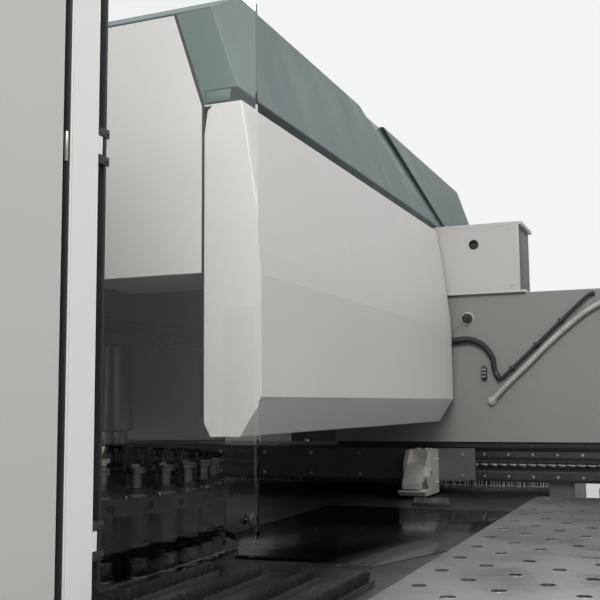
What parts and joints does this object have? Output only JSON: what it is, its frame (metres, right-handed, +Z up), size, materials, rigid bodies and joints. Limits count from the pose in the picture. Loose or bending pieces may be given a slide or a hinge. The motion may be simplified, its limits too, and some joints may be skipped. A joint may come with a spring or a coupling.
{
  "type": "turret punch press",
  "caption": "Bridge-frame turret punch press: rotating upper and lower tool turrets, ram, sheet clamps on a crossbeam, drilled tables, side hoods and roof caps",
  "frame": {"origin": "On the floor, at the centre of the rectangle of four floor anchor holes in the frame's foot plates", "axes": "+X across the machine to the right, +Y along the frame from the turret end to the rear column, +Z up"},
  "size_m": [4.9, 5.427, 2.16],
  "materials": {
    "frame_paint": "satin light grey paint on welded plate",
    "cover_paint": "fine textured light grey powder coat",
    "post_paint": "smooth off-white paint",
    "box_paint": "satin light grey paint",
    "grey_paint": "satin mid grey paint",
    "beam_paint": "dark grey paint",
    "motor_paint": "black motor paint",
    "teal_paint": "satin grey-green paint",
    "dark_green_paint": "satin dark green paint",
    "table_steel": "worn bare steel plate",
    "ground_steel": "ground steel",
    "zinc_steel": "zinc plated steel",
    "clamp_steel": "machined steel with oil marks",
    "turret_steel": "oiled dark machined iron",
    "tool_steel": "hardened tool steel with oil film",
    "black_plastic": "matt black plastic",
    "grey_plastic": "light grey plastic conduit",
    "black_rubber": "black rubber",
    "bristle": "black nylon bristles",
    "clear_pane": "clear polycarbonate",
    "red_plastic": "glossy red plastic",
    "green_plastic": "glossy green plastic"
  },
  "bodies": {
    "root": {"o_frame": "frame_paint", "levelling_screws": "zinc_steel", "side_beam_right": "grey_paint", "side_beam_left": "grey_paint", "front_column_cover": "cover_paint", "front_roof_cover": "teal_paint", "rear_column_cover": "cover_paint", "door_posts": "post_paint", "hood_right": "cover_paint", "hood_left": "cover_paint", "nose_covers": "cover_paint", "eave_strips": "dark_green_paint", "roof_cap_front": "teal_paint", "roof_band": "dark_green_paint", "roof_cap_rear": "teal_paint", "service_housing": "grey_paint", "junction_box": "box_paint", "control_cable": "black_rubber", "cable_conduit": "grey_plastic", "cable_clips": "black_plastic", "terminal_block": "black_plastic", "centre_table": "table_steel", "table_brushes": "bristle", "y_rails": "ground_steel", "y_motors": "motor_paint", "turret_motor": "motor_paint", "ram_cylinder": "beam_paint", "drive_belts": "black_rubber", "electric_cabinet": "cover_paint", "hydraulic_unit": "grey_paint"},
    "latch": {"housing_latch": "black_plastic"},
    "beam": {"crossbeam": "beam_paint", "x_rails": "ground_steel", "x_motor": "motor_paint", "wing_table_right": "table_steel", "wing_table_left": "table_steel"},
    "y_screw_r": {"y_screw_right": "ground_steel"},
    "y_screw_l": {"y_screw_left": "ground_steel"},
    "x_spindle": {"x_screw": "ground_steel"},
    "carriage": {"x_carriage": "beam_paint", "clamp_bodies": "clamp_steel"},
    "jaw_r": {"clamp_jaw_right": "clamp_steel"},
    "jaw_l": {"clamp_jaw_left": "clamp_steel"},
    "turret_upper": {"upper_turret": "turret_steel", "punch_tools": "tool_steel"},
    "punch": {"active_punch": "tool_steel"},
    "turret_lower": {"lower_turret": "turret_steel", "die_set": "tool_steel"},
    "turret_drive": {"turret_drive_shaft": "ground_steel"},
    "ram_rod": {"ram": "ground_steel"},
    "pin_upper": {"index_pin_upper": "ground_steel"},
    "pin_lower": {"index_pin_lower": "ground_steel"},
    "door_r": {"tool_door_right": "clear_pane"},
    "door_l": {"tool_door_left": "clear_pane"},
    "cab_door": {"cabinet_door": "cover_paint"},
    "cab_handle": {"cabinet_handle": "black_plastic"},
    "arm": {"pendant_arm": "grey_paint"},
    "head": {"pendant_head": "cover_paint"},
    "estop": {"estop_button": "red_plastic"},
    "start": {"start_button": "green_plastic"}
  },
  "joints": [
    {"name": "latch_turn", "type": "hinge", "parent": "root", "child": "latch", "pos_m": [0.769, 0.69, 1.541], "axis": [0, 1, 0], "range_deg": [0, 90]},
    {"name": "beam_slide", "type": "slide", "parent": "root", "child": "beam", "axis": [0, 1, 0], "range_m": [-0.82, 0.43]},
    {"name": "y_screw_right_turn", "type": "hinge", "parent": "root", "child": "y_screw_r", "pos_m": [1.15, 0.8, 0.835], "axis": [0, 1, 0], "continuous": true},
    {"name": "y_screw_left_turn", "type": "hinge", "parent": "root", "child": "y_screw_l", "pos_m": [-1.15, 0.8, 0.835], "axis": [0, 1, 0], "continuous": true},
    {"name": "carriage_slide", "type": "slide", "parent": "beam", "child": "carriage", "axis": [1, 0, 0], "range_m": [-1.25, 1.25]},
    {"name": "x_screw_turn", "type": "hinge", "parent": "beam", "child": "x_spindle", "pos_m": [0, 0.726, 1.0415], "axis": [1, 0, 0], "continuous": true},
    {"name": "jaw_right_open", "type": "hinge", "parent": "carriage", "child": "jaw_r", "pos_m": [0.61, 0.59, 1.03], "axis": [-1, 0, 0], "range_deg": [0, 12]},
    {"name": "jaw_left_open", "type": "hinge", "parent": "carriage", "child": "jaw_l", "pos_m": [-0.61, 0.59, 1.03], "axis": [-1, 0, 0], "range_deg": [0, 12]},
    {"name": "turret_turn", "type": "hinge", "parent": "root", "child": "turret_upper", "pos_m": [0, -0.8, 1.2], "axis": [0, 0, 1], "continuous": true},
    {"name": "lower_turret_turn", "type": "hinge", "parent": "root", "child": "turret_lower", "pos_m": [0, -0.8, 0.85], "axis": [0, 0, 1], "continuous": true},
    {"name": "drive_shaft_turn", "type": "hinge", "parent": "root", "child": "turret_drive", "pos_m": [-0.12, -1.4, 1], "axis": [0, 0, 1], "continuous": true},
    {"name": "ram_stroke", "type": "slide", "parent": "root", "child": "ram_rod", "axis": [0, 0, -1], "range_m": [0, 0.026]},
    {"name": "punch_stroke", "type": "slide", "parent": "turret_upper", "child": "punch", "axis": [0, 0, -1], "range_m": [0, 0.026]},
    {"name": "upper_pin_slide", "type": "slide", "parent": "root", "child": "pin_upper", "axis": [0, 1, 0], "range_m": [0, 0.025]},
    {"name": "lower_pin_slide", "type": "slide", "parent": "root", "child": "pin_lower", "axis": [0, 1, 0], "range_m": [0, 0.025]},
    {"name": "tool_door_right_swing", "type": "hinge", "parent": "root", "child": "door_r", "pos_m": [0.713, -1.43, 1.5], "axis": [0, 0, -1], "range_deg": [0, 100]},
    {"name": "tool_door_left_swing", "type": "hinge", "parent": "root", "child": "door_l", "pos_m": [-0.713, -1.43, 1.5], "axis": [0, 0, 1], "range_deg": [0, 100]},
    {"name": "cabinet_door_swing", "type": "hinge", "parent": "root", "child": "cab_door", "pos_m": [-0.962, 2.52, 1], "axis": [0, 0, -1], "range_deg": [0, 110]},
    {"name": "cabinet_handle_turn", "type": "hinge", "parent": "cab_door", "child": "cab_handle", "pos_m": [-0.98, 1.99, 1.05], "axis": [1, 0, 0], "range_deg": [0, 90]},
    {"name": "pendant_arm_swing", "type": "hinge", "parent": "root", "child": "arm", "pos_m": [-0.81, -2.3, 1.6], "axis": [0, 0, 1], "range_deg": [-90, 10]},
    {"name": "pendant_swivel", "type": "hinge", "parent": "arm", "child": "head", "pos_m": [-0.81, -2.82, 1.5], "axis": [0, 0, 1], "range_deg": [-90, 90]},
    {"name": "estop_press", "type": "slide", "parent": "head", "child": "estop", "axis": [0, 1, 0], "range_m": [0, 0.006]},
    {"name": "start_press", "type": "slide", "parent": "head", "child": "start", "axis": [0, 1, 0], "range_m": [0, 0.004], "stiffness_N_per_m": 500}
  ],
  "couplings": [
    {"joint": "y_screw_right_turn", "follows": "beam_slide", "rad_per_m": 196.35},
    {"joint": "y_screw_left_turn", "follows": "beam_slide", "rad_per_m": 196.35},
    {"joint": "x_screw_turn", "follows": "carriage_slide", "rad_per_m": 196.35},
    {"joint": "jaw_left_open", "follows": "jaw_right_open", "ratio": 1},
    {"joint": "lower_turret_turn", "follows": "turret_turn", "ratio": 1},
    {"joint": "drive_shaft_turn", "follows": "turret_turn", "ratio": 2.8571},
    {"joint": "punch_stroke", "follows": "ram_stroke", "ratio": 1},
    {"joint": "lower_pin_slide", "follows": "upper_pin_slide", "ratio": 1}
  ]
}
